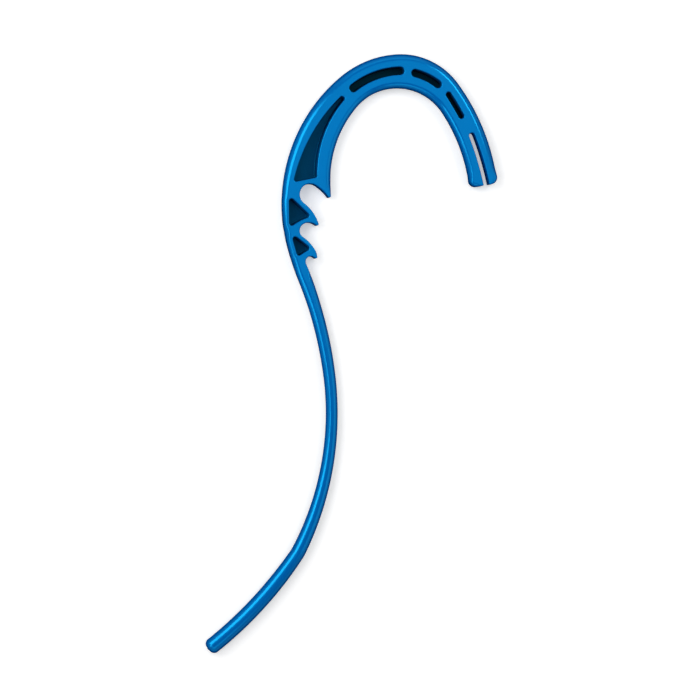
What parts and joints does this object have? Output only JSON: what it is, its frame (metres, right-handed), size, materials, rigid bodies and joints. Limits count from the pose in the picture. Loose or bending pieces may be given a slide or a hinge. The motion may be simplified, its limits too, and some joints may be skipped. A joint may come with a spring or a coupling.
{
  "type": "sock aid",
  "caption": "Hook-shaped dressing aid in one moulded plastic piece: S-curved handle, notched shank, U-shaped arch and a slotted leg that grips a sock's cuff.",
  "frame": {"origin": "on the surface it lies on, under the middle of the outline", "axes": "+Z through the thickness, away from the flat back; +Y from the handle towards the crown of the arch; +X towards the free leg"},
  "size_m": [0.2352, 0.478, 0.013],
  "materials": {
    "blue_plastic": "glossy"
  },
  "bodies": {
    "hook": {"handle_neck": "blue_plastic", "notched_shank": "blue_plastic", "arch_limb": "blue_plastic"},
    "grip": {"handle_grip": "blue_plastic"},
    "leg": {"hook_leg": "blue_plastic"},
    "inner": {"inner_prong": "blue_plastic"},
    "outer": {"outer_prong": "blue_plastic"}
  },
  "joints": [
    {"name": "handle_flex", "type": "hinge", "parent": "hook", "child": "grip", "pos_m": [-0.01644, -0.0536, 0.0065], "axis": [0, 0, 1], "range_deg": [-6, 6], "stiffness_Nm_per_rad": 8},
    {"name": "leg_flex", "type": "hinge", "parent": "hook", "child": "leg", "pos_m": [0.02621, 0.22545, 0.0065], "axis": [0, 0, 1], "range_deg": [-3, 3], "stiffness_Nm_per_rad": 20},
    {"name": "inner_prong_flex", "type": "hinge", "parent": "leg", "child": "inner", "pos_m": [0.09196, 0.1646, 0.0065], "axis": [0, 0, 1], "range_deg": [-1, 1], "stiffness_Nm_per_rad": 1},
    {"name": "outer_prong_flex", "type": "hinge", "parent": "leg", "child": "outer", "pos_m": [0.10441, 0.17085, 0.0065], "axis": [0, 0, 1], "range_deg": [-1.5, 1.5], "stiffness_Nm_per_rad": 0.8}
  ]
}
